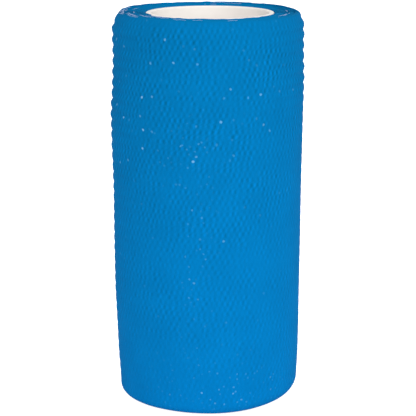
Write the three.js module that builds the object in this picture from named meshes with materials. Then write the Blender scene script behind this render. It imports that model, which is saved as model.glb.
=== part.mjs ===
// A cohesive bandage roll: a strip of blue crinkled cloth wound on a white paperboard core. It stands on
// its end. Millimetres, +Z up. The origin is the middle of the roll's base, and -Y is the front.
// The wound cloth is one ring. Its outer turn ends at the back in a step one layer high, and the elastic
// threads draw the cloth into soft ribs that run round the roll.

import * as THREE from "three";

// The bandage
const CLOTH_WIDTH = 100; // the height of the roll as it stands
const LAYER = 0.45; // one turn of crinkled cloth
const TAIL_ANGLE = 100; // where the outer turn ends, in degrees from +X towards +Y: the back
const TAIL_STEP_ANGLE = 0.8; // the degrees that the cut end takes to drop by one layer

// The outline of the outer turn, from the base to the top, in mm from the roll's middle line
const OUTLINE = [
  { height: 3, left: 23.0, right: 23.55 },
  { height: 10, left: 23.4, right: 23.85 },
  { height: 20, left: 23.8, right: 23.97 },
  { height: 28, left: 24.15, right: 24.0 },
  { height: 40, left: 24.25, right: 24.1 },
  { height: 56, left: 24.27, right: 24.2 },
  { height: 66, left: 24.55, right: 24.33 },
  { height: 75, left: 24.6, right: 24.45 },
  { height: 82, left: 24.2, right: 24.6 },
  { height: 90, left: 23.97, right: 24.45 },
  { height: 97, left: 23.97, right: 24.4 },
];
const BASE_EDGE = { left: 1.7, right: 4.0 }; // rounding of the lower edge
const BASE_EDGE_STEPS = 5;
const SHOULDER_HEIGHT = 3.5; // the top edge is drawn in over this height
const SHOULDER_DEPTH = { left: 1.7, right: 1.45 };
const SHOULDER_CURVE = 1.6; // 1 is a straight slope, and more starts it upright
const SHOULDER_STEPS = 5;

// The ribs
const RIB_PITCH = 2.63;
const RIB_HEIGHT = { top: 0.3, base: 0.16 }; // crest above trough, flatter towards the base
const RIB_UNEVENNESS = 0.35; // share by which a rib swells and thins on its way round
const RIB_WAVES = 5; // swellings on each rib
const RIB_DRIFT = 2.2; // radians by which they move along from a crest to the trough below it

// The core
const CORE_OUTER_RADIUS = 16.3;
const CORE_WALL = 1.3;
const CORE_EDGE = 0.25; // bevel of the tube's cut ends
const CORE_SHORTER = 0.3; // how far each end of the tube lies inside the cloth's edge
const CORE_SHIFT = 0.5; // the winding is thicker on the left, so the tube sits this far to the right
const FIT_GAP = 0.3; // between the tube and the first turn

const SIDES = 48;

const clothInnerRadius = CORE_OUTER_RADIUS + FIT_GAP;
const shoulderStart = CLOTH_WIDTH - SHOULDER_HEIGHT;
const ribsStart = Math.max(BASE_EDGE.left, BASE_EDGE.right) + RIB_PITCH / 2;
const halfRibs = Math.floor((shoulderStart - ribsStart) / (RIB_PITCH / 2));

const heights = OUTLINE.map((row) => row.height);
const radii = OUTLINE.flatMap((row) => [row.left, row.right]);
const outline = new THREE.CubicInterpolant(heights, radii, 2);

// A value that is `left` on the left of the roll, `right` on its right and their mean at front and back.
function sideways(left, right, angle) {
  return (left + right) / 2 + ((right - left) / 2) * Math.cos(angle);
}

// The smooth radius of the winding at a height, on the side that the angle gives.
function windingRadius(height, angle) {
  const [left, right] = outline.evaluate(
    THREE.MathUtils.clamp(height, heights[0], heights.at(-1)),
  );
  return sideways(left, right, angle);
}

// How far a rib's crest stands out, or its trough lies in. Ribs are counted in halves from the top:
// even ones are crests.
function ribLift(halfRib, height, angle) {
  const tall = THREE.MathUtils.lerp(RIB_HEIGHT.base, RIB_HEIGHT.top, height / CLOTH_WIDTH);
  const swell = 1 + RIB_UNEVENNESS * Math.sin(RIB_WAVES * angle + RIB_DRIFT * halfRib);
  return (halfRib % 2 === 0 ? tall : -tall) * 0.5 * swell;
}

// The cut through the wound cloth at one angle, as [radius, height, 1 if it is measured from the
// tube's middle line]. It runs up the outside and down the inside. growth is how far the spiral
// has grown there.
function clothSection(angle, growth) {
  const section = [];
  const edge = sideways(BASE_EDGE.left, BASE_EDGE.right, angle);
  const baseRadius = windingRadius(0, angle) + growth;
  for (let i = 0; i <= BASE_EDGE_STEPS; i++) {
    const turn = (i / BASE_EDGE_STEPS) * (Math.PI / 2);
    section.push([baseRadius - edge * (1 - Math.sin(turn)), edge * (1 - Math.cos(turn)), 0]);
  }
  for (let halfRib = halfRibs; halfRib >= 0; halfRib--) {
    const height = shoulderStart - halfRib * (RIB_PITCH / 2);
    const lift = ribLift(halfRib, height, angle);
    section.push([windingRadius(height, angle) + growth + lift, height, 0]);
  }
  const crest = ribLift(0, shoulderStart, angle);
  const depth = sideways(SHOULDER_DEPTH.left, SHOULDER_DEPTH.right, angle);
  for (let i = 1; i <= SHOULDER_STEPS; i++) {
    const height = shoulderStart + SHOULDER_HEIGHT * (i / SHOULDER_STEPS);
    const drawnIn = depth * (i / SHOULDER_STEPS) ** SHOULDER_CURVE;
    section.push([windingRadius(height, angle) + growth + crest - drawnIn, height, 0]);
  }
  section.push([clothInnerRadius, CLOTH_WIDTH, 1]);
  section.push([clothInnerRadius, 0, 1]);
  return section;
}

// Joins closed sections, one for each column of points, into a closed ring.
function ringOfSections(columns) {
  const rows = columns[0].length;
  const index = [];
  columns.forEach((_, column) => {
    const here = column * rows;
    const next = ((column + 1) % columns.length) * rows;
    for (let row = 0; row < rows; row++) {
      const above = (row + 1) % rows;
      index.push(here + row, next + row, next + above);
      index.push(here + row, next + above, here + above);
    }
  });
  const geometry = new THREE.BufferGeometry();
  geometry.setAttribute("position", new THREE.Float32BufferAttribute(columns.flat(2), 3));
  geometry.setIndex(index);
  geometry.computeVertexNormals();
  return geometry;
}

// The outer turn starts just past its own cut end, where it is highest, and loses one layer on its
// way round to the other side of the cut end.
function woundCloth() {
  const columns = [];
  const start = TAIL_ANGLE + TAIL_STEP_ANGLE / 2;
  const round = 360 - TAIL_STEP_ANGLE;
  for (let side = 0; side <= SIDES; side++) {
    const share = side / SIDES;
    const angle = THREE.MathUtils.degToRad(start + share * round);
    const growth = LAYER * (0.5 - share);
    columns.push(
      clothSection(angle, growth).map(([radius, height, onCore]) => [
        onCore * CORE_SHIFT + radius * Math.cos(angle),
        radius * Math.sin(angle),
        height,
      ]),
    );
  }
  return ringOfSections(columns);
}

// A tube with bevelled ends, lying round the Y axis and then stood up.
function coreTube() {
  const inner = CORE_OUTER_RADIUS - CORE_WALL;
  const low = CORE_SHORTER;
  const high = CLOTH_WIDTH - CORE_SHORTER;
  const profile = [
    [inner + CORE_EDGE, low],
    [CORE_OUTER_RADIUS - CORE_EDGE, low],
    [CORE_OUTER_RADIUS, low + CORE_EDGE],
    [CORE_OUTER_RADIUS, high - CORE_EDGE],
    [CORE_OUTER_RADIUS - CORE_EDGE, high],
    [inner + CORE_EDGE, high],
    [inner, high - CORE_EDGE],
    [inner, low + CORE_EDGE],
    [inner + CORE_EDGE, low],
  ].map(([radius, height]) => new THREE.Vector2(radius, height));
  return new THREE.LatheGeometry(profile, SIDES).rotateX(Math.PI / 2);
}

const clothMaterial = new THREE.MeshStandardMaterial({
  color: 0x007ec4,
  roughness: 0.9,
  metalness: 0,
});
const paperboardMaterial = new THREE.MeshStandardMaterial({
  color: 0xf4efec,
  roughness: 0.8,
  metalness: 0,
});

const roll = new THREE.Group();

const bandage = new THREE.Mesh(woundCloth(), clothMaterial);
bandage.name = "bandage_roll";
roll.add(bandage);

const core = new THREE.Mesh(coreTube(), paperboardMaterial);
core.name = "core_tube";
core.position.x = CORE_SHIFT;
roll.add(core);

export default roll;
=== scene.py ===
# %% [markdown]
# A cohesive bandage roll.
# The real thing is one strip of blue crinkled cloth, 100 mm wide, wound some 17 times round a white
# paperboard core, and it stands on its end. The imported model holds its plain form: a ring of cloth and
# a tube. This lesson dresses them with the turns of cloth, their crinkle and cut edges, the stray
# fibres, the tube, and the light of a bright product photograph. Lengths are in millimetres where no
# comment says otherwise, and MM turns them into the metres of Blender.

import math

import bpy
import numpy as np
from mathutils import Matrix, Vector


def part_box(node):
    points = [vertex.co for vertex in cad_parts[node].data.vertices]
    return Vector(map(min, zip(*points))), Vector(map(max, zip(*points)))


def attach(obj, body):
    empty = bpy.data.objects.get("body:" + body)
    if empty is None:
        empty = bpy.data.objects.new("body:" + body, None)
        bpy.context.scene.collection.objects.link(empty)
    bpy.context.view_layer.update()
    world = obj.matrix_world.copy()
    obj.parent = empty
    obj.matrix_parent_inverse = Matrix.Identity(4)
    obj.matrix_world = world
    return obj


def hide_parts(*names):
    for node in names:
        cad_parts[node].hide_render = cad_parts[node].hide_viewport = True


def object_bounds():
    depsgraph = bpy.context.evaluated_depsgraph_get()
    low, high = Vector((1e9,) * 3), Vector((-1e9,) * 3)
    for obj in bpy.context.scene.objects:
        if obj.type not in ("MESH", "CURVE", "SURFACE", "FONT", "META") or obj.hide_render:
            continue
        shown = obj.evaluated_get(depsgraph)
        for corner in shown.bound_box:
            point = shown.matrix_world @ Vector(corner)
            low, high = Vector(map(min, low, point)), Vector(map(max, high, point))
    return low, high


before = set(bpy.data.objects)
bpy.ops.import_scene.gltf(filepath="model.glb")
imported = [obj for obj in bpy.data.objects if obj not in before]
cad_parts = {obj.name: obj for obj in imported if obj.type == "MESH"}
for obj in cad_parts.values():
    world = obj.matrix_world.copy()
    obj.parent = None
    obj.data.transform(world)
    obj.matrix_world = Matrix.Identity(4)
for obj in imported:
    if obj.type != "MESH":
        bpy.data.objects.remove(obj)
cad_low, cad_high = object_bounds()
MM = 0.001
print("model box, mm:", [round(v / MM, 1) for v in (*cad_low, *cad_high)])

# %% [markdown]
# The camera looks at the roll from the front, a little from above, with a long lens. Its place and
# tilt were fitted to the outline of the roll: the tilt decides how open the ring at the top looks, and
# the distance decides how much narrower the base is than the top.

# %% The camera
IMAGE_WIDTH = 416  # pixels
FOCAL_LENGTH = 1531.35  # pixels
SENSOR_WIDTH = 36.0
CAMERA_PLACE = (0.0, -389.41 * MM, 140.93 * MM)
CAMERA_TILT = 13.299  # degrees below the horizon

camera_data = bpy.data.cameras.new("camera")
camera_data.sensor_width = SENSOR_WIDTH
camera_data.lens = SENSOR_WIDTH * FOCAL_LENGTH / IMAGE_WIDTH
camera_data.clip_start = 0.01
camera_data.clip_end = 100.0
camera = bpy.data.objects.new("camera", camera_data)
camera.location = CAMERA_PLACE
camera.rotation_euler = (math.radians(90.0 - CAMERA_TILT), 0.0, 0.0)
bpy.context.scene.collection.objects.link(camera)
bpy.context.scene.camera = camera
print("lens, mm:", round(camera_data.lens, 2))

# %% [markdown]
# Cloth is never even, so most of what follows needs small random changes that are smooth and the same
# on each run. A table of random heights on a lattice, joined smoothly, gives that for whole arrays at
# once, and its step is the real size of the unevenness in millimetres. Each use has a seed of its own,
# so that no two are alike.

# %% Smooth random changes
SEED = 7
NOISE_TABLE = 256  # lattice points each way before the noise repeats


def ease(share):
    """Eases a share from 0 to 1 with level ends: three times its square less twice its cube."""
    share = np.clip(share, 0.0, 1.0)
    return share * share * (3.0 - 2.0 * share)


def soft_noise(x, y, step_x, step_y, seed):
    """Smooth random values from -1 to 1 over the plane of x and y.
    Each corner of a lattice of step_x by step_y has a random value, and a point takes the four corners
    of its cell, weighted by its eased place between them."""
    table = np.random.default_rng(seed).uniform(-1.0, 1.0, (NOISE_TABLE, NOISE_TABLE))
    x, y = np.broadcast_arrays(np.asarray(x) / step_x, np.asarray(y) / step_y)
    column = np.floor(x).astype(int)
    row = np.floor(y).astype(int)
    across = ease(x - column)
    up = ease(y - row)
    left = column % NOISE_TABLE
    right = (column + 1) % NOISE_TABLE
    below = row % NOISE_TABLE
    above = (row + 1) % NOISE_TABLE
    low = table[left, below] * (1.0 - across) + table[right, below] * across
    high = table[left, above] * (1.0 - across) + table[right, above] * across
    return low * (1.0 - up) + high * up


print("noise over 10 mm:", soft_noise(np.arange(0.0, 10.0, 2.5), 0.0, 5.0, 1.0, SEED + 11).round(2))

# %% [markdown]
# The roll is not a true cylinder. Elastic cloth winds up tighter in some places than in others, so it
# bulges three quarters of the way up, its top edge is drawn in, and its lower edge is rounded, more on
# the right than on the left. A short table of radii gives the bulge, and a blur over a few millimetres
# keeps its curve soft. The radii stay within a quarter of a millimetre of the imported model's ring, so the
# cloth lands on it.

# %% The sizes of the outline
CLOTH_WIDTH = 100.0  # the height of the roll as it stands
# height, radius on the left, radius on the right
OUTLINE = np.array(
    [
        (3, 23.08, 23.55),
        (10, 23.62, 23.92),
        (20, 23.97, 24.04),
        (28, 24.33, 24.07),
        (40, 24.42, 24.17),
        (56, 24.40, 24.26),
        (66, 24.73, 24.40),
        (75, 24.81, 24.52),
        (82, 24.25, 24.67),
        (90, 24.07, 24.46),
        (97, 24.20, 24.40),
    ]
)
OUTLINE_BLUR = 3.0  # mm over which a corner of the table is rounded
SAMPLE_STEP = 0.25  # between the heights at which the radii are worked out
SAMPLE_MARGIN = 10.0  # these heights go on this far past each end
BASE_EDGE = (1.7, 4.0)  # rounding of the lower edge, left and right
BASE_EDGE_FRONT = 2.3  # and at the front and the back
SHOULDER_HEIGHT = 3.5  # the top edge is drawn in over this height
SHOULDER_END = 1.2  # the highest cut edges stand at this share of it
SHOULDER_DEPTH = (1.50, 1.30)  # left and right
SHOULDER_CURVE = (1.05, 2.3)  # 1 is a straight slope, and more starts it upright

sample_heights = np.arange(-SAMPLE_MARGIN, CLOTH_WIDTH + SAMPLE_MARGIN, SAMPLE_STEP)
blur = np.hanning(int(4 * OUTLINE_BLUR / SAMPLE_STEP))
left_radii, right_radii = (
    np.convolve(np.interp(sample_heights, OUTLINE[:, 0], column), blur / blur.sum(), mode="same")
    for column in (OUTLINE[:, 1], OUTLINE[:, 2])
)
print("outline samples:", len(sample_heights))

# %% The radius of the winding


def sideways(left, right, angle):
    """left on the left of the roll, right on its right, and their mean at the front and the back: the
    mean plus half the difference times the cosine of the angle."""
    return (left + right) / 2 + (right - left) / 2 * np.cos(angle)


def base_edge(angle):
    """The lower rounding's size: BASE_EDGE at the sides, and BASE_EDGE_FRONT at the front and the back,
    blended by the sixth power of the angle's sine."""
    across = np.sin(angle) ** 6
    return sideways(*BASE_EDGE, angle) * (1.0 - across) + BASE_EDGE_FRONT * across


def winding_radius(angle, height):
    """The radius of the whole winding: the table's curve, less the shoulder, which grows as a power of
    the height into it, and less the lower rounding, a quarter circle."""
    radius = sideways(
        np.interp(height, sample_heights, left_radii),
        np.interp(height, sample_heights, right_radii),
        angle,
    )
    into_shoulder = np.clip((height - CLOTH_WIDTH) / SHOULDER_HEIGHT + 1.0, 0.0, SHOULDER_END)
    shoulder = sideways(*SHOULDER_DEPTH, angle) * into_shoulder ** sideways(*SHOULDER_CURVE, angle)
    edge = base_edge(angle)
    below = np.clip(1.0 - height / edge, 0.0, 1.0)
    return radius - shoulder - edge * (1.0 - np.sqrt(1.0 - below**2))


print("radius at mid height, mm:", winding_radius(np.array([0.0, math.pi]), 50.0).round(2))

# %% [markdown]
# The strip is one spiral, so every point of it has a turn number: 0 at the cut end on the outside, and
# about 17 at the core. The angle grows by a full circle for each turn, and the radius shrinks from the
# outline towards the tube. Where the top edge is drawn in, the same number of layers share less room,
# so they are squeezed together there, as on the real roll.

# %% The spiral
LAYER = 0.45  # one turn of crinkled cloth
TURNS = 17.3
MEAN_RADIUS = 24.3  # of the winding, between its rounded and its drawn-in edge
TAIL_ANGLE = math.radians(100.0)  # where the outer turn ends, at the back
FILL = 0.82  # share of a layer's room that is cloth and not air

core_low, core_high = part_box("core_tube")
CORE_RADIUS = (core_high.x - core_low.x) / 2 / MM
CORE_SHIFT = (core_high.x + core_low.x) / 2 / MM  # the tube sits a little to the right


def turn_angle(turn):
    """The angle round the roll: the tail's angle plus a full circle for each turn."""
    return TAIL_ANGLE + 2.0 * math.pi * turn


def cloth_along(turn):
    """Millimetres of cloth from the tail to a turn: a full circle times the radius of the outer face,
    which shrinks by a layer each turn, summed over the turns."""
    return 2.0 * math.pi * ((MEAN_RADIUS + LAYER / 2) * turn - LAYER * turn**2 / 2.0)


def spiral_room(angle, height):
    """The radius of the outside of the winding and of the face of the last turn round the tube."""
    outside = winding_radius(angle, height) + LAYER / 2
    innermost = CORE_RADIUS + LAYER + CORE_SHIFT * np.cos(angle)
    return outside, innermost


def spiral_radius(turn, angle, height):
    """The radius of the cloth's outer face: from the outside to the innermost radius, in even steps."""
    outside, innermost = spiral_room(angle, height)
    return outside + (innermost - outside) * turn / TURNS


def cloth_thickness(angle, height):
    """The thickness of the cloth: its share of the room that each turn has."""
    outside, innermost = spiral_room(angle, height)
    return FILL * (outside - innermost) / TURNS


print("cloth on the roll, mm:", round(cloth_along(TURNS)))

# %% [markdown]
# Elastic threads run round the roll and raise soft ribs, 2.7 mm apart, which show as bumps along the
# outline. A cosine of the height gives them, and a short table their size on each side. They are small
# at the base, where the cloth is slack, and they fade out at the front and the back, where only the
# puckers show.

# %% The ribs
RIB_PITCH = 2.72
TOP_RIB = 95.9  # height of the first crest on the left
# height, height of a crest above its trough on the left and on the right
RIBS = np.array(
    [
        (20, 0.10, 0.04),
        (50, 0.20, 0.05),
        (66, 0.26, 0.06),
        (76, 0.44, 0.10),
        (83, 0.42, 0.36),
        (100, 0.34, 0.36),
    ]
)
RIB_START = 3.0  # height below which there are no ribs, and over which they then grow
RIB_UNEVENNESS = 0.2  # share by which a rib swells and thins on its way round
RIB_WAVES = 5  # swellings on each rib
RIB_DRIFT = 2.2  # radians by which they move along from a crest to the trough below it


def rib_lift(angle, height):
    """How far the ribs lift the cloth: a cosine of the height, counted in half ribs down from the first
    one, times its size from the table, times one less or more a sine on the way round. A rib on the right
    lies half a pitch below its start on the left, so the angle's cosine turns its sign, and the cosine's
    square fades it out at the front and the back."""
    half_ribs = (TOP_RIB - height) / (RIB_PITCH / 2)
    left, right = (np.interp(height, RIBS[:, 0], column) for column in (RIBS[:, 1], RIBS[:, 2]))
    size = sideways(left, right, angle) / 2 * -np.cos(angle) * np.abs(np.cos(angle))
    swell = 1.0 + RIB_UNEVENNESS * np.sin(RIB_WAVES * angle + RIB_DRIFT * half_ribs)
    return size * swell * np.cos(math.pi * half_ribs) * ease((height - RIB_START) / RIB_START)


print("ribs up the roll:", round(CLOTH_WIDTH / RIB_PITCH))

# %% [markdown]
# Between the threads the cloth puckers into small pits, 1.45 mm apart, in rows that are shifted by half a
# pit. The product of two cosines has just such a staggered pattern of hollows. Smooth noise bends the
# rows and slides them along the cloth, makes some pits deep and leaves others out.

# %% The puckers
PIT_PITCH = 1.45
PIT_DEPTH = 0.185
ROW_SHIFT = 0.5  # mm by which a row slides along the cloth
PIT_SHIFT = 0.25  # mm by which single pits stray from their row's spacing
ROW_BEND = 0.15  # mm by which a row rises and falls
PIT_STRENGTH = (0.58, 0.55)  # the mean strength of a pit, and what noise adds or takes away
PATCH_STRENGTH = (0.85, 0.35)  # the same for patches of about a centimetre
# painted shade: the blue is painted lighter at the base and darker at the top, standing in for light
# bounced up from the floor
HEIGHT_SHADE = (0.62, 0.39)  # the mean of the pucker at the base and at the top


def pucker_pattern(along, height):
    """How high the cloth puckers, from -1 in a deep pit to 1 on a high ridge: the product of a cosine
    along the cloth and one up it, times an uneven strength. Noise shifts each row along the cloth."""
    row_shift = ROW_SHIFT * soft_noise(along, height, 8.0, RIB_PITCH / 2, SEED)
    bent_along = along + row_shift + PIT_SHIFT * soft_noise(along, height, 2.5, 2.5, SEED + 12)
    bent_height = height + ROW_BEND * soft_noise(along, height, 6.0, 4.0, SEED + 1)
    across = np.cos(2.0 * math.pi * bent_along / PIT_PITCH)
    up = np.cos(2.0 * math.pi * bent_height / RIB_PITCH)
    strength = PIT_STRENGTH[0] + PIT_STRENGTH[1] * soft_noise(along, height, 1.3, 1.2, SEED + 2)
    patches = PATCH_STRENGTH[0] + PATCH_STRENGTH[1] * soft_noise(along, height, 11.0, 8.0, SEED + 3)
    return across * up * np.clip(strength * patches, 0.0, 1.0)


def painted_height_shade(height):
    """The mean of the pucker shade at a height: a straight line between the values at the base and at the
    top. It is painted shade: the blue is painted darker towards the top and lighter towards the base, as
    light bounced up from the floor would make it."""
    return np.interp(height, (0.0, CLOTH_WIDTH), HEIGHT_SHADE)


print("pits round the roll:", round(cloth_along(1.0) / PIT_PITCH))

# %% [markdown]
# Pale dots are painted on the cloth as glints, painted highlights where the latex that makes the cloth
# cling would catch the light. Large ones lie in drifts, mostly on the upper part, and small ones crowd in
# a few places. The dots themselves are drawn by the material. What is worked out here is how strongly
# they show at each point.

# %% Where the painted glints lie
GLINT_DRIFT = 13.0  # size of a drift of large painted glints
GLINT_DRIFTS = (0.55, 0.9)  # before easing: the mean of the drifts, and what noise adds or takes away
GLINTS_LEAST = 0.12  # their strength between the drifts
GLINTS_SIDEWAYS = (1.0, 0.4)  # left and right
# height, and the strength of the large painted glints there
GLINTS_UPWARDS = np.array([(0, 0.5), (4, 0.7), (12, 0.3), (35, 0.4), (60, 1.0)])
# angle and height of a crowd's middle, its reach each way in degrees and in mm, and its strength
CROWDS = (
    (-106, 69, 18, 8, 0.6),
    (-97, 42, 8, 24, 0.8),
    (-83, 7, 38, 5, 1.1),
    (20, 55, 30, 25, 0.5),
    (120, 75, 30, 15, 0.5),
)
CROWD_EVERYWHERE = 0.08


def crowd_zones(angle, height):
    """How strongly the small painted glints show, up to 1: a little everywhere, plus a bell for each crowd,
    which falls with the square of the distance from its middle, each way in shares of its reach."""
    zones = CROWD_EVERYWHERE + np.zeros_like(height)
    for middle, level, reach, rise, strength in CROWDS:
        away = np.angle(np.exp(1j * (angle - math.radians(middle)))) / math.radians(reach)
        zones = zones + strength * np.exp(-(away**2) - ((height - level) / rise) ** 2)
    return np.minimum(zones, 1.0)


def fleck_zones(angle, along, height):
    """How strongly the large painted glints show, from 0 to 1: the drifts, from noise along and up the
    cloth, times the strength at that height and on that side."""
    noise = soft_noise(along, height, GLINT_DRIFT, GLINT_DRIFT, SEED + 20)
    drifts = ease(GLINT_DRIFTS[0] + GLINT_DRIFTS[1] * noise)
    upwards = np.interp(height, *GLINTS_UPWARDS.T) * sideways(*GLINTS_SIDEWAYS, angle)
    return (GLINTS_LEAST + (1.0 - GLINTS_LEAST) * drifts) * upwards


print("crowds of small glints:", len(CROWDS))

# %% [markdown]
# The cut edges of the turns make the ring at the top. On a real roll they are never level: each turn
# wanders up and down by a tenth or two of a millimetre, and at the back the outer ones stand highest.
# At the base the outer turns end higher, one above the other, which rounds the lower edge.

# %% The cut edges
EDGE_LIFT = 0.05  # how far the upper edges stand above the cloth's width, before they wander
EDGE_WANDER = 0.13
BACK_RISE = 0.42  # how much higher the outer turn stands at the back
BACK_SPREAD = (0.25, 1.6)  # before easing: its share at the sides, and what the angle's sine adds
BACK_TURNS = 5.0  # turns over which it fades inwards
BASE_RISE = 0.18  # how high the outer turn ends, as a share of the lower rounding
BASE_SHARE = 0.57  # share of the rounding's size over which it cuts the turns
BASE_LAYER = 0.7 * LAYER  # the layers are squeezed there
BASE_CURVE = 1.3
BASE_WANDER = 0.06


def cut_edges(turn, angle):
    """The heights of the lower and the upper edge of the cloth. The upper one is the cloth's width plus
    noise along the cloth, and a rise that is greatest at the back and fades over the outer turns. The
    lower one falls, as a power, from the rounding's share to almost nothing over the turns that the
    rounding cuts."""
    along = cloth_along(turn)
    slow = soft_noise(along, 0.0, 7.0, 1.0, SEED + 4)
    wander = slow + 0.5 * soft_noise(along, 0.0, 1.6, 1.0, SEED + 5)
    back = ease(BACK_SPREAD[0] + BACK_SPREAD[1] * np.sin(angle)) * ease(1.0 - turn / BACK_TURNS)
    upper = CLOTH_WIDTH + EDGE_LIFT + EDGE_WANDER * wander + BACK_RISE * back
    edge = base_edge(angle)
    rounded_turns = BASE_SHARE * edge / BASE_LAYER
    lower = BASE_RISE * edge * np.clip(1.0 - turn / rounded_turns, 0.0, 1.0) ** BASE_CURVE
    return lower + BASE_WANDER * (1.0 + soft_noise(along, 0.0, 5.0, 1.0, SEED + 6)), upper


print("edges at the back, mm:", [round(float(v), 2) for v in cut_edges(0.0, TAIL_ANGLE)])

# %% [markdown]
# Every piece of cloth here is a closed thin sheet: a cut through it, carried along the spiral. The cut
# runs up the outer face, over a rounded edge, down the inner face and round the lower edge. The points
# of all cuts make one grid, so one helper can join them, close the two ends and store the place of each
# point on the flat cloth as its UV, in millimetres.

# %% A cut through the cloth
ROUNDED = 0.12 / CLOTH_WIDTH  # height of a rounded edge, as a share of the width


def cut_through(outer_places, inner_places):
    """The cut through the cloth: for each point its place up the cloth from 0 to 1, and its depth from
    0 on the outer face to 1 on the inner one, with three points over each rounded edge."""
    over = np.array([1.0 - 0.25 * ROUNDED, 1.0, 1.0 - 0.25 * ROUNDED])
    into = np.array([0.17, 0.5, 0.83])
    places = np.concatenate([outer_places, over, inner_places[::-1], 1.0 - over])
    depths = np.concatenate(
        [np.zeros(len(outer_places)), into, np.ones(len(inner_places)), into[::-1]]
    )
    return places, depths


def joined(*values):
    """Puts arrays of any fitting shapes together, as the last dimension of one array."""
    return np.stack(np.broadcast_arrays(*values), -1)


def around(angle, radius, height, shift=0.0):
    """Points from their angle round the roll, radius and height: the radius times the angle's cosine,
    plus the shift to the right, the radius times its sine, and the height."""
    return joined(radius * np.cos(angle) + shift, radius * np.sin(angle), height)


print("a point at the front:", around(-math.pi / 2, 24.0, 50.0).round(1))

# %% Joining a grid into a piece


def grid_piece(name, points, flat_places=None, values=None, ring=False):
    """Joins a grid of points, columns of closed cuts, into a mesh in metres. Each four neighbours make a
    face. A ring joins its last column to the first, and any other grid has a face over each end. Many
    grids of one size, stacked in a fourth dimension, make one mesh. flat_places gives each point's UV,
    and values holds named numbers for the points."""
    points = points.reshape(-1, *points.shape[-3:])
    rows = points.shape[2]
    index = np.arange(points.size // 3).reshape(points.shape[:3])
    here = index if ring else index[:, :-1]
    following = np.roll(index, -1, 1) if ring else index[:, 1:]
    quads = np.stack([here, following, np.roll(following, -1, 2), np.roll(here, -1, 2)], -1)
    ends = index[:0, 0] if ring else np.concatenate([index[:, 0], index[:, -1, ::-1]])
    corners = np.concatenate([quads.ravel(), ends.ravel()])
    starts = np.concatenate([np.arange(0, quads.size, 4), quads.size + rows * np.arange(len(ends))])
    mesh = bpy.data.meshes.new(name)
    mesh.vertices.add(index.size)
    mesh.vertices.foreach_set("co", (points * MM).ravel())
    mesh.loops.add(len(corners))
    mesh.loops.foreach_set("vertex_index", corners)
    mesh.polygons.add(len(starts))
    mesh.polygons.foreach_set("loop_start", starts)
    mesh.polygons.foreach_set("use_smooth", np.arange(len(starts)) < quads.size // 4)
    mesh.update(calc_edges=True)
    if flat_places is not None:
        layer = mesh.uv_layers.new(name="cloth")
        layer.uv.foreach_set("vector", flat_places.reshape(-1, 2)[corners].ravel())
    for key, value in (values or {}).items():
        attribute = mesh.attributes.new(key, "FLOAT", "POINT")
        attribute.data.foreach_set("value", np.broadcast_to(value, index.shape).ravel())
    piece = bpy.data.objects.new(name, mesh)
    bpy.context.scene.collection.objects.link(piece)
    print(name, "has", quads.size // 2 + len(ends) * (rows - 2), "triangles")
    return piece


# %% [markdown]
# The outer turn is what the eye sees first, so nearly all its points go to its outer face: four for
# each pit along the cloth and about six for each rib up it. The inner face lies on the next turn and
# needs only a few rows. At the back the cloth ends in a straight cut, which wavers a little, as a cut
# through stretchy cloth does.

# %% The grid of the outer turn
OUTER_TURNS = 1.015  # it runs on a little way under its own cut end
OUTER_COLUMNS = 425
OUTER_ROWS = 220
INNER_FACE = np.array([0.0012, 0.012, 0.035, 0.3, 0.6, 0.965, 0.988, 0.9988])
CUT_WAVER = 0.35
CUT_REACH = 3.0  # mm from the cut end over which the waver dies away

places, depths = cut_through(np.linspace(ROUNDED, 1.0 - ROUNDED, OUTER_ROWS), INNER_FACE)
turn = np.linspace(0.0, OUTER_TURNS, OUTER_COLUMNS)[:, None]
waver = CUT_WAVER * soft_noise(places * CLOTH_WIDTH, 0.0, 9.0, 1.0, SEED + 7)
turn = turn + waver * np.exp(-cloth_along(turn) / CUT_REACH) / cloth_along(1.0)
angle = turn_angle(turn)
along = cloth_along(turn)
lower, upper = cut_edges(turn, angle)
height = lower + (upper - lower) * places
print("columns and rows of the outer turn:", height.shape)

# %% [markdown]
# The outer face is the inner one plus the cloth's thickness, its ribs and its puckers. The puckers are
# weaker near a cut edge, where nothing pulls on the cloth, and towards the base. The two columns nearest
# the cut end are pressed thin on the turn below.

# %% The outer turn
EDGE_PUCKER = 0.35  # share of the pucker that is left at a cut edge
EDGE_FADES = (4.0, 2.5)  # mm from the lower and from the upper edge to the full pucker
BASE_PUCKER = 0.4  # share of the pucker that is left at the base
CUT_THINNING = (0.35, 0.85)  # share of the thickness in the columns nearest the cut end
EDGE_SHOWS = 0.5  # below the upper edge, over this height, the painted shade of a cut fades out

puckers = pucker_pattern(along, height)
from_edges = ease((CLOTH_WIDTH - height) / EDGE_FADES[1]) * ease(height / EDGE_FADES[0])
near_edge = EDGE_PUCKER + (1.0 - EDGE_PUCKER) * from_edges
strength = near_edge * np.interp(height, (0.0, CLOTH_WIDTH), (BASE_PUCKER, 1.0))
relief = rib_lift(angle, height) + 0.5 * PIT_DEPTH * strength * puckers
thinning = np.ones(OUTER_COLUMNS)
thinning[: len(CUT_THINNING)] = CUT_THINNING
thickness = cloth_thickness(angle, height)
inner_face = spiral_radius(turn, angle, height) - thickness
outer_face = inner_face + (thickness + relief) * thinning[:, None]
radius = outer_face + (inner_face - outer_face) * depths
on_face = depths == 0.0

outer_turn = grid_piece(
    "outer_turn",
    around(angle, radius, height),
    joined(along, height),
    {
        # painted light and shade: the painted height shade plus the pucker, which the ramp paints dark in a
        # pit and light on a ridge
        "pucker_shade": painted_height_shade(height) + 0.5 * puckers * strength * on_face,
        # where the material paints shade on the cut edges as a deeper blue
        "edge": ~on_face * (1.0 - ease((upper - height) / EDGE_SHOWS)),
        "flecks": fleck_zones(angle, along, height),
        "crowds": crowd_zones(angle, height),
    },
)

# %% [markdown]
# The turns below show only as edges, at the top and at the base, so their points are spent there. The
# columns are about half a millimetre apart, fine enough for the wrinkles of a cut edge. The wrinkles push
# whole bundles of layers in and out together, because the layers stick to each other.

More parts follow.
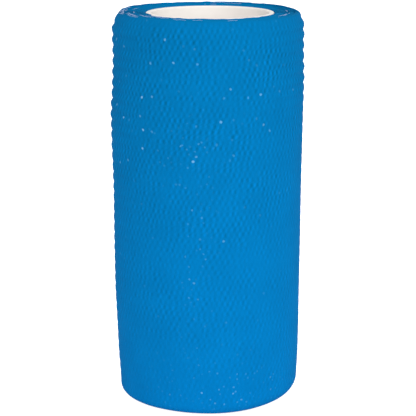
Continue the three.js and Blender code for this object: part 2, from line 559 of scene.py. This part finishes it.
# %% The grid of the inner turns
COLUMN_STEP = 0.51
TURN_GAP = 0.0006  # of a turn, between the end of the outer turn and the start of these
SPIRAL_SAMPLES = 20000  # enough to space the columns evenly along the cloth
FACE_PLACES = np.array([0.0012, 0.004, 0.015, 0.045, 0.5, 0.955, 0.985, 0.996, 0.9988])

fine_turns = np.linspace(OUTER_TURNS + TURN_GAP, TURNS, SPIRAL_SAMPLES)
fine_along = cloth_along(fine_turns)
column_count = int((fine_along[-1] - fine_along[0]) / COLUMN_STEP)
column_along = np.linspace(fine_along[0], fine_along[-1], column_count)
turn = np.interp(column_along, fine_along, fine_turns)[:, None]
angle = turn_angle(turn)
places, depths = cut_through(FACE_PLACES, FACE_PLACES)
lower, upper = cut_edges(turn, angle)
height = lower + (upper - lower) * places
radius = spiral_radius(turn, angle, height) - cloth_thickness(angle, height) * depths
print("columns and rows of the inner turns:", height.shape)

# %% The inner turns
WRINKLE = 0.14
COARSE_WRINKLE = 1.9  # mm over which the layers bend in and out
FINE_WRINKLE = 0.9  # and a finer bend on top of it, half as deep
WRINKLE_REACH = 2.5  # mm from a cut edge over which the wrinkles fade

flat_x = radius * np.cos(angle)
flat_y = radius * np.sin(angle)
wrinkles = soft_noise(flat_x, flat_y, COARSE_WRINKLE, COARSE_WRINKLE, SEED + 8)
wrinkles = wrinkles + 0.5 * soft_noise(flat_x, flat_y, FINE_WRINKLE, FINE_WRINKLE, SEED + 9)
room = np.clip(turn - OUTER_TURNS, 0.0, 1.0) * np.clip(TURNS - turn, 0.0, 1.0)
near_cut = 1.0 - ease(np.minimum(upper - height, height - lower) / WRINKLE_REACH)
radius = radius + WRINKLE * wrinkles * room * near_cut

inner_turns = grid_piece(
    "inner_turns",
    around(angle, radius, height),
    joined(cloth_along(turn), height),
    {
        # painted shade only: the inner turns' blue is painted darker towards the top
        "pucker_shade": painted_height_shade(height),
        "edge": 1.0 - ease((upper - height) / EDGE_SHOWS),
        "flecks": 0.0,
        "crowds": 0.0,
    },
)

# %% [markdown]
# Where the cloth was cut, crimped fibres stand out of the edge and catch the light as pale zigzags. They
# gather on the left, towards the front, and are few elsewhere. Each fibre lies on the edge of a turn,
# so its place is a turn number, drawn at random within its group.

# %% The places of the stray fibres
# number of fibres, first and last angle in degrees, first and last turn
FIBRE_GROUPS = (
    (9, 172, 192, 0.5, 5.0),
    (6, 192, 208, 4.0, 9.0),
    (5, 208, 226, 8.0, 12.0),
    (4, 226, 244, 10.0, 14.0),
    (4, 318, 352, 3.0, 9.0),
    (12, 0, 360, 1.0, 16.0),
)
FIBRE_POINTS = 26
FIBRE_LENGTH = (2.5, 7.0)  # shortest and longest
ZIGZAG = (0.10, 0.22)  # least and greatest swing to each side
ZIGZAG_PITCH = 1.35

chance = np.random.default_rng(SEED + 10)
fibre_turns = np.concatenate(
    [
        np.floor(chance.uniform(first, last, count))
        + (np.radians(chance.uniform(start, end, count)) - TAIL_ANGLE) / (2.0 * math.pi) % 1.0
        for count, start, end, first, last in FIBRE_GROUPS
    ]
)[:, None]
fibre_count = len(fibre_turns)
lengths = chance.uniform(*FIBRE_LENGTH, (fibre_count, 1))
swing = chance.uniform(*ZIGZAG, (fibre_count, 1))
phase = chance.uniform(0.0, 2.0 * math.pi, (fibre_count, 1))
print("stray fibres:", fibre_count)

# %% [markdown]
# Each fibre is a tube of four sides along its path. The path follows the edge of its turn and swings to
# both sides as a sine, and it rises and falls a little. All tubes are worked out in one array.

# %% The stray fibres
FIBRE_RADIUS = 0.045
FIBRE_SIDES = 4
FIBRE_RISE = 0.04

steps = np.linspace(-0.5, 0.5, FIBRE_POINTS)
turn = fibre_turns + lengths * steps / cloth_along(1.0)
angle = turn_angle(turn)
upper = cut_edges(turn, angle)[1]
wave = np.sin(2.0 * math.pi * cloth_along(turn) / ZIGZAG_PITCH + phase)
path_radius = spiral_radius(turn, angle, upper) - LAYER / 3 + swing * wave
path_height = upper + FIBRE_RADIUS / 2 + FIBRE_RISE * np.cos(3.0 * phase + 9.0 * steps)
side_angle = 2.0 * math.pi * np.arange(FIBRE_SIDES) / FIBRE_SIDES
# even along the fibre and thin at its tips: the root of just over one less a sixth power
girth = (FIBRE_RADIUS * np.sqrt(1.02 - (2.0 * steps) ** 6))[:, None]
radius = path_radius[..., None] + girth * np.cos(side_angle)
height = path_height[..., None] + girth * np.sin(side_angle)
edge_fibres = grid_piece("edge_fibres", around(angle[..., None], radius, height))

# %% [markdown]
# The core is a tube of white paperboard, wound from plies and cut square. Its cut ends are a little
# soft, so the tube is a profile with four rounded corners, carried round a circle. The profile has few
# points on the outer wall, which the cloth hides, and more on the inner wall, which shows.

# %% The profile of the core
CORE_WALL = 1.3
CORE_SHORTER = 0.02  # each end of the tube lies this far inside the cloth's edge
CORNER = 0.25
CORNER_STEPS = 4
WALL_STEP = 0.75

core_bottom = CORE_SHORTER
core_top = CLOTH_WIDTH - CORE_SHORTER
quarter = np.linspace(0.0, math.pi / 2, CORNER_STEPS + 1)
wall_heights = np.arange(core_bottom + CORNER, core_top - CORNER, WALL_STEP)[1:]
outside_wall = wall_heights[::4]
profile_radius = np.concatenate(
    [
        CORE_RADIUS - CORNER * (1.0 - np.sin(quarter)),
        np.full(len(outside_wall), CORE_RADIUS),
        CORE_RADIUS - CORNER * (1.0 - np.cos(quarter)),
        CORE_RADIUS - CORE_WALL + CORNER * (1.0 - np.sin(quarter)),
        np.full(len(wall_heights), CORE_RADIUS - CORE_WALL),
        CORE_RADIUS - CORE_WALL + CORNER * (1.0 - np.cos(quarter)),
    ]
)
profile_height = np.concatenate(
    [
        core_bottom + CORNER * (1.0 - np.cos(quarter)),
        outside_wall,
        core_top - CORNER * (1.0 - np.sin(quarter)),
        core_top - CORNER * (1.0 - np.cos(quarter)),
        wall_heights[::-1],
        core_bottom + CORNER * (1.0 - np.sin(quarter)),
    ]
)
print("points of the core's profile:", len(profile_height))

# %% [markdown]
# On the walls the edge of the top ply runs round in a shallow helix. A bell of the distance from the
# helix gives a narrow dip, which is cut into both walls. The bell also tells the material where the seam
# is, and a second number tells it where the cut ends are.

# %% The core
CORE_COLUMNS = 192
SEAM_LEAD = 59.0  # the helix climbs this far in one turn
SEAM_WIDTH = 0.9
SEAM_DEPTH = 0.05

angle = np.linspace(0.0, 2.0 * math.pi, CORE_COLUMNS, endpoint=False)[:, None]
from_seam = (profile_height - SEAM_LEAD * angle / (2.0 * math.pi)) % SEAM_LEAD
from_seam = np.minimum(from_seam, SEAM_LEAD - from_seam)
seam = np.exp(-((from_seam / SEAM_WIDTH) ** 2))
inner_side = profile_radius < CORE_RADIUS - CORE_WALL / 2
radius = profile_radius + np.where(inner_side, 1.0, -1.0) * SEAM_DEPTH * seam
from_middle = np.abs(profile_height - (core_top + core_bottom) / 2)
cut_end = ease((from_middle - (core_top - core_bottom) / 2 + CORNER) / CORNER)
core = grid_piece(
    "paperboard_core",
    around(angle, radius, profile_height, CORE_SHIFT),
    values={"seam": seam, "cut_end": cut_end},
    ring=True,
)

# %% [markdown]
# Materials are built from nodes. One function turns a hex colour from sRGB, as a picture shows it, into
# the linear values that Blender counts in. One adds a node with its settings, values and links, and one
# starts a material with the plain numbers of its shader.

# %% Helpers for materials
# the numbers of a Mix node's colour inputs and output
MIX_A = 6
MIX_B = 7
MIX_RESULT = 2
PER_MM = 1.0 / MM


def to_linear(colour):
    """The linear colour of an sRGB hex value: a channel is divided by 12.92 where it is very dark, and
    otherwise follows a power of 2.4."""
    channels = np.array([int(colour[place : place + 2], 16) for place in (1, 3, 5)]) / 255
    linear = np.where(channels <= 0.04045, channels / 12.92, ((channels + 0.055) / 1.055) ** 2.4)
    return (*linear.tolist(), 1.0)


def add_node(tree, kind, values=None, links=None, **settings):
    """Adds a node with its own settings, the values of its free inputs and the outputs that feed its
    other inputs, each by the input's name or number."""
    node = tree.nodes.new(kind)
    for name, setting in settings.items():
        setattr(node, name, setting)
    for place, value in (values or {}).items():
        node.inputs[place].default_value = value
    for place, output in (links or {}).items():
        tree.links.new(output, node.inputs[place])
    return node


def new_material(name, **shader_values):
    """An empty material with a Principled shader, whose plain numbers are set on its own sockets."""
    material = bpy.data.materials.new(name)
    material.use_nodes = True
    shader = material.node_tree.nodes["Principled BSDF"]
    for socket, value in shader_values.items():
        shader.inputs[socket.replace("_", " ")].default_value = value
    return material, material.node_tree, shader


print("half grey in linear light:", round(to_linear("#808080")[0], 3))

# %% [markdown]
# The cloth is an elastic nonwoven: crimped polyester fibres, dyed blue, with threads between two layers
# and a coat of latex that makes it cling to itself. Its fuzzy fibres scatter the light, so it is rough
# and has almost no gloss. A ramp paints shade into the pits and light onto the ridges, from a deep blue
# to a bright blue, and the blue is also painted darker towards the top.

# %% Crinkled nonwoven
# place on the pucker shade from pit to ridge, and the colour there: painted shade in a pit, painted light
# on a ridge
PAINTED_PUCKER_BLUES = ((0.0, "#005275"), (0.5, "#0069A3"), (1.0, "#007AC7"))

cloth, tree, shader = new_material("crinkled_nonwoven", Roughness=0.9, Specular_IOR_Level=0.02)
pucker_shade = add_node(tree, "ShaderNodeAttribute", attribute_name="pucker_shade")
ramp = add_node(tree, "ShaderNodeValToRGB", links={"Fac": pucker_shade.outputs["Fac"]})
stops = ramp.color_ramp.elements
stops.new(PAINTED_PUCKER_BLUES[1][0])
for stop, (place, colour) in zip(stops, PAINTED_PUCKER_BLUES):
    stop.position = place
    stop.color = to_linear(colour)
print("blues of the cloth:", len(stops))

# %% [markdown]
# The dye takes a little unevenly, in soft patches of about a centimetre, and most fibres lie one way, up
# the roll, which makes a fine streaky grain. Both are noise on the flat cloth, through its UV in
# millimetres, and both shade the blue by a few hundredths. A noise seldom leaves the middle of its
# range, so that part of it is spread over the whole shade.

# %% Mottle and grain
MOTTLE_SIZE = 9.0
MOTTLE_SHADE = (0.97, 1.03)
FIBRE_GRAIN = (0.35, 1.1)  # mm along and up the cloth; real fibres are a tenth of this
GRAIN_SHADE = (0.96, 1.04)

flat = add_node(tree, "ShaderNodeUVMap", uv_map="cloth").outputs["UV"]
mottle = add_node(
    tree,
    "ShaderNodeTexNoise",
    {"Scale": 1.0 / MOTTLE_SIZE, "Detail": 3.0},
    {"Vector": flat},
    noise_dimensions="2D",
)
mottle_shade = add_node(
    tree,
    "ShaderNodeMapRange",
    {"From Min": 0.3, "From Max": 0.7, "To Min": MOTTLE_SHADE[0], "To Max": MOTTLE_SHADE[1]},
    {"Value": mottle.outputs["Fac"]},
)
grain_place = add_node(
    tree,
    "ShaderNodeMapping",
    {"Scale": (1.0 / FIBRE_GRAIN[0], 1.0 / FIBRE_GRAIN[1], 1.0)},
    {"Vector": flat},
)
grain = add_node(
    tree,
    "ShaderNodeTexNoise",
    {"Scale": 1.0, "Detail": 2.0, "Distortion": 0.6},
    {"Vector": grain_place.outputs["Vector"]},
    noise_dimensions="2D",
)
grain_shade = add_node(
    tree,
    "ShaderNodeMapRange",
    {"From Min": 0.25, "From Max": 0.75, "To Min": GRAIN_SHADE[0], "To Max": GRAIN_SHADE[1]},
    {"Value": grain.outputs["Fac"]},
)
shade = add_node(
    tree,
    "ShaderNodeMath",
    links={0: mottle_shade.outputs["Result"], 1: grain_shade.outputs["Result"]},
    operation="MULTIPLY",
)
grained = add_node(
    tree,
    "ShaderNodeMix",
    {"Factor": 1.0},
    {MIX_A: ramp.outputs["Color"], MIX_B: shade.outputs["Value"]},
    data_type="RGBA",
    blend_type="MULTIPLY",
)
colour = grained.outputs[MIX_RESULT]
print("grain, mm:", FIBRE_GRAIN)

# %% [markdown]
# A Voronoi pattern scatters points over the cloth, one in each cell, and gives each cell a random
# colour. The distance to the point draws a painted glint, and the cell's red says how strong it is: most
# are faint and a few are pale. Noise in the coordinates keeps the glints from being round. The same steps
# draw the large and the small painted glints.

# %% Painted glints on the cloth
GLINT_COLOURS = ("#36A0D6", "#BADDF3")  # a faint painted glint, and a pale, full one
# zone, mm from glint to glint, radius of a glint, mix of the strongest one, rarity of strong ones, and turn
# of the pattern in radians
GLINTS = (
    ("flecks", 2.5, 0.44, 0.7, 7.0, 0.6),
    ("crowds", 1.4, 0.36, 0.4, 2.5, 1.1),
)
GLINT_CORE = 0.3  # share of a glint's radius that has its full strength
GLINT_EVENNESS = 0.8  # 1 would let a glint lie anywhere in its cell, where the next cell may cut it
EMPTY_CELLS = 0.4  # share of the cells without a glint
RAGGED_SIZE = 0.5  # mm
RAGGED_REACH = 0.35  # mm

ragged = add_node(
    tree,
    "ShaderNodeTexNoise",
    {"Scale": 1.0 / RAGGED_SIZE, "Detail": 1.0},
    {"Vector": flat},
    noise_dimensions="2D",
)
ragged_place = add_node(
    tree,
    "ShaderNodeVectorMath",
    {1: (RAGGED_REACH, RAGGED_REACH, 0.0)},
    {0: ragged.outputs["Color"], 2: flat},
    operation="MULTIPLY_ADD",
)
for zone, spacing, size, strongest, rarity, turned in GLINTS:
    place = add_node(
        tree,
        "ShaderNodeMapping",
        {"Rotation": (0.0, 0.0, turned)},
        {"Vector": ragged_place.outputs["Vector"]},
    )
    cells = add_node(
        tree,
        "ShaderNodeTexVoronoi",
        {"Scale": 1.0 / spacing, "Randomness": GLINT_EVENNESS},
        {"Vector": place.outputs["Vector"]},
        voronoi_dimensions="2D",
    )
    shape = add_node(
        tree,
        "ShaderNodeMapRange",
        {"From Min": size / spacing, "From Max": GLINT_CORE * size / spacing},
        {"Value": cells.outputs["Distance"]},
        interpolation_type="SMOOTHSTEP",
    )
    chance = add_node(tree, "ShaderNodeSeparateColor", links={"Color": cells.outputs["Color"]})
    strength = add_node(
        tree,
        "ShaderNodeMapRange",
        {"From Min": EMPTY_CELLS, "From Max": 1.0},
        {"Value": chance.outputs["Red"]},
    )
    rare = add_node(
        tree, "ShaderNodeMath", {1: rarity}, {0: strength.outputs["Result"]}, operation="POWER"
    )
    limited = add_node(
        tree, "ShaderNodeMath", {1: strongest}, {0: rare.outputs["Value"]}, operation="MULTIPLY"
    )
    here = add_node(tree, "ShaderNodeAttribute", attribute_name=zone)
    placed = add_node(
        tree,
        "ShaderNodeMath",
        links={0: limited.outputs["Value"], 1: here.outputs["Fac"]},
        operation="MULTIPLY",
    )
    # painted highlight: the colour of each glint, from a faint to a pale blue
    glint_colour = add_node(
        tree,
        "ShaderNodeMix",
        {MIX_A: to_linear(GLINT_COLOURS[0]), MIX_B: to_linear(GLINT_COLOURS[1])},
        {"Factor": placed.outputs["Value"]},
        data_type="RGBA",
    )
    glint = add_node(
        tree,
        "ShaderNodeMath",
        links={0: shape.outputs["Result"], 1: placed.outputs["Value"]},
        operation="MULTIPLY",
    )
    # the painted glint is mixed over the cloth's blue
    glinted = add_node(
        tree,
        "ShaderNodeMix",
        links={"Factor": glint.outputs["Value"], MIX_A: colour, MIX_B: glint_colour.outputs[MIX_RESULT]},
        data_type="RGBA",
    )
    colour = glinted.outputs[MIX_RESULT]
    print("glints of", 2 * size, "mm in cells of", spacing, "mm")

# %% [markdown]
# The cut edges lie in each other's shadow and show the dyed fibres end on. Their deeper blue is painted
# shade. The grain also gives a slight bump, and then both lengths of cloth take the finished material.

# %% Painted shade on the cut edges, and the bump
# painted shade: the cut edges are painted a deeper blue where they lie in each other's shadow
EDGE_SHADE_BLUE = "#006A9E"
GRAIN_BUMP = 0.05 * MM

edge = add_node(tree, "ShaderNodeAttribute", attribute_name="edge")
edge_shaded = add_node(
    tree,
    "ShaderNodeMix",
    {MIX_B: to_linear(EDGE_SHADE_BLUE)},
    {"Factor": edge.outputs["Fac"], MIX_A: colour},
    data_type="RGBA",
)
tree.links.new(edge_shaded.outputs[MIX_RESULT], shader.inputs["Base Color"])
bump = add_node(
    tree,
    "ShaderNodeBump",
    {"Strength": 0.5, "Distance": GRAIN_BUMP},
    {"Height": grain.outputs["Fac"]},
)
tree.links.new(bump.outputs["Normal"], shader.inputs["Normal"])
for piece in (outer_turn, inner_turns):
    piece.data.materials.append(cloth)
print("nodes of the cloth:", len(tree.nodes))

# %% [markdown]
# The fibres that stand out of the cut edge have lost their dye and keep some latex, so they look
# lavender white. They are too thin for a pattern of their own beyond a slow change along each fibre.

# %% Bare crimped fibre
FIBRE_COLOURS = ("#6C93C6", "#B7C3DF")
FIBRE_CHANGES = 0.6  # changes of colour in each mm

bare_fibre, tree, shader = new_material("bare_crimped_fibre", Roughness=0.7, IOR=1.5)
place = add_node(tree, "ShaderNodeTexCoord").outputs["Object"]
change = add_node(
    tree, "ShaderNodeTexNoise", {"Scale": FIBRE_CHANGES * PER_MM, "Detail": 1.0}, {"Vector": place}
)
fibre_colour = add_node(
    tree,
    "ShaderNodeMix",
    {MIX_A: to_linear(FIBRE_COLOURS[0]), MIX_B: to_linear(FIBRE_COLOURS[1])},
    {"Factor": change.outputs["Fac"]},
    data_type="RGBA",
)
tree.links.new(fibre_colour.outputs[MIX_RESULT], shader.inputs["Base Color"])
edge_fibres.data.materials.append(bare_fibre)
print("colours of the fibres:", *FIBRE_COLOURS)

# %% [markdown]
# The tube is white-lined paperboard. Paper is matt, slightly warm, and faintly cloudy where its pulp is
# thicker, so noise blends two close whites.

# %% White paperboard
PAPER_WHITE = ("#E1DCD7", "#E9E4DF")
CLOUD_SIZE = 2.5

paper, tree, shader = new_material("white_paperboard", Roughness=0.75, IOR=1.5)
place = add_node(tree, "ShaderNodeTexCoord").outputs["Object"]
clouds = add_node(
    tree, "ShaderNodeTexNoise", {"Scale": PER_MM / CLOUD_SIZE, "Detail": 5.0}, {"Vector": place}
)
board = add_node(
    tree,
    "ShaderNodeMix",
    {MIX_A: to_linear(PAPER_WHITE[0]), MIX_B: to_linear(PAPER_WHITE[1])},
    {"Factor": clouds.outputs["Fac"]},
    data_type="RGBA",
)
print("whites of the paper:", *PAPER_WHITE)

# %% [markdown]
# The seam of the top ply and the plies that show at the cut ends are a shade greyer. The plies are a sine
# of the distance from the tube's middle line, which needs coordinates in millimetres without the height.

# %% Plies and seam
SEAM_GREY = "#D9D0CA"
PLY = 0.32  # thickness of a ply
PLY_MIX = 0.15  # how far the cut plies go towards the grey
SEAM_MIX = 0.4  # and how far the seam does
PAPER_BUMP = 0.03 * MM

centred = add_node(
    tree,
    "ShaderNodeMapping",
    {"Location": (-CORE_SHIFT, 0.0, 0.0), "Scale": (PER_MM, PER_MM, 0.0)},
    {"Vector": place},
)
from_middle = add_node(
    tree, "ShaderNodeVectorMath", links={0: centred.outputs["Vector"]}, operation="LENGTH"
)
plies = add_node(
    tree,
    "ShaderNodeMath",
    {1: 2.0 * math.pi / PLY},
    {0: from_middle.outputs["Value"]},
    operation="MULTIPLY",
)
ply_wave = add_node(tree, "ShaderNodeMath", links={0: plies.outputs["Value"]}, operation="SINE")
ply_shade = add_node(
    tree,
    "ShaderNodeMapRange",
    {"From Min": 0.3, "From Max": 1.0, "To Max": PLY_MIX},
    {"Value": ply_wave.outputs["Value"]},
)
cut = add_node(tree, "ShaderNodeAttribute", attribute_name="cut_end")
cut_shade = add_node(
    tree,
    "ShaderNodeMath",
    links={0: ply_shade.outputs["Result"], 1: cut.outputs["Fac"]},
    operation="MULTIPLY",
)
seam_place = add_node(tree, "ShaderNodeAttribute", attribute_name="seam")
seam_shade = add_node(
    tree, "ShaderNodeMath", {1: SEAM_MIX}, {0: seam_place.outputs["Fac"]}, operation="MULTIPLY"
)
shade = add_node(
    tree,
    "ShaderNodeMath",
    links={0: cut_shade.outputs["Value"], 1: seam_shade.outputs["Value"]},
    operation="MAXIMUM",
)
shaded = add_node(
    tree,
    "ShaderNodeMix",
    {MIX_B: to_linear(SEAM_GREY)},
    {"Factor": shade.outputs["Value"], MIX_A: board.outputs[MIX_RESULT]},
    data_type="RGBA",
)
tree.links.new(shaded.outputs[MIX_RESULT], shader.inputs["Base Color"])
paper_bump = add_node(
    tree,
    "ShaderNodeBump",
    {"Strength": 0.3, "Distance": PAPER_BUMP},
    {"Height": clouds.outputs["Fac"]},
)
tree.links.new(paper_bump.outputs["Normal"], shader.inputs["Normal"])
core.data.materials.append(paper)
print("nodes of the paper:", len(tree.nodes))

# %% [markdown]
# Each piece is now attached to the body that it rides on, and the imported parts that it stands for are
# hidden.

# %% Attach the pieces and hide the imported parts
for piece in (outer_turn, inner_turns, edge_fibres):
    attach(piece, "root")
    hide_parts("bandage_roll")
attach(core, "root")
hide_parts("core_tube")

# %% [markdown]
# In product photographs of this kind the background burns out to pure white. The pale floor here does
# the same: it glows, but only for the camera, so that its glow doesn't light the roll from below.

# %% The floor
FLOOR_SIZE = 12.0  # metres
FLOOR_GLOW = 0.8
FLOOR_WHITE = "#F3F3F3"
PURE_WHITE = "#FFFFFF"

bpy.ops.mesh.primitive_plane_add(size=FLOOR_SIZE)
floor = bpy.context.object
floor.name = "floor"
white_table, tree, shader = new_material("glowing_white_table", Roughness=0.9)
shader.inputs["Base Color"].default_value = to_linear(FLOOR_WHITE)
shader.inputs["Emission Color"].default_value = to_linear(PURE_WHITE)
seen = add_node(tree, "ShaderNodeLightPath")
glow = add_node(
    tree,
    "ShaderNodeMath",
    {1: FLOOR_GLOW},
    {0: seen.outputs["Is Camera Ray"]},
    operation="MULTIPLY",
)
tree.links.new(glow.outputs["Value"], shader.inputs["Emission Strength"])
floor.data.materials.append(white_table)
print("floor, m:", FLOOR_SIZE)

# %% [markdown]
# Three wide soft lights, one high behind the camera and one at each side, keep the roll evenly lit
# almost to its outline. Each is turned towards the middle of the roll.

# %% The lights
# name, place in mm, width in mm, power in watts
LIGHTS = (
    ("front", (100, -1000, 650), 800, 6.5),
    ("left", (-950, -700, 600), 700, 3.4),
    ("right", (1000, -650, 600), 700, 6.0),
)
for name, place, width, power in LIGHTS:
    light_data = bpy.data.lights.new(name, "AREA")
    light_data.size = width * MM
    light_data.energy = power
    light = bpy.data.objects.new(name, light_data)
    light.location = [value * MM for value in place]
    towards = light.location - (cad_low + cad_high) / 2
    light.rotation_euler = towards.to_track_quat("Z", "Y").to_euler()
    bpy.context.scene.collection.objects.link(light)
    print(name, "light, W:", power)

# %% [markdown]
# The white world fills the shadows. It shows at full strength only to the camera, so that the background
# stays white while the roll keeps some shade.

# %% The world
SKY_GLOW = 0.68  # the strength with which it lights the roll

world = bpy.data.worlds.new("studio")
bpy.context.scene.world = world
world.use_nodes = True
tree = world.node_tree
background = tree.nodes["Background"]
background.inputs["Color"].default_value = to_linear(PURE_WHITE)
seen = add_node(tree, "ShaderNodeLightPath")
strength = add_node(
    tree,
    "ShaderNodeMapRange",
    {"To Min": SKY_GLOW, "To Max": 1.0},
    {"Value": seen.outputs["Is Camera Ray"]},
)
tree.links.new(strength.outputs["Result"], background.inputs["Strength"])
bpy.context.scene.view_settings.view_transform = "Standard"
print("sky glow:", SKY_GLOW)
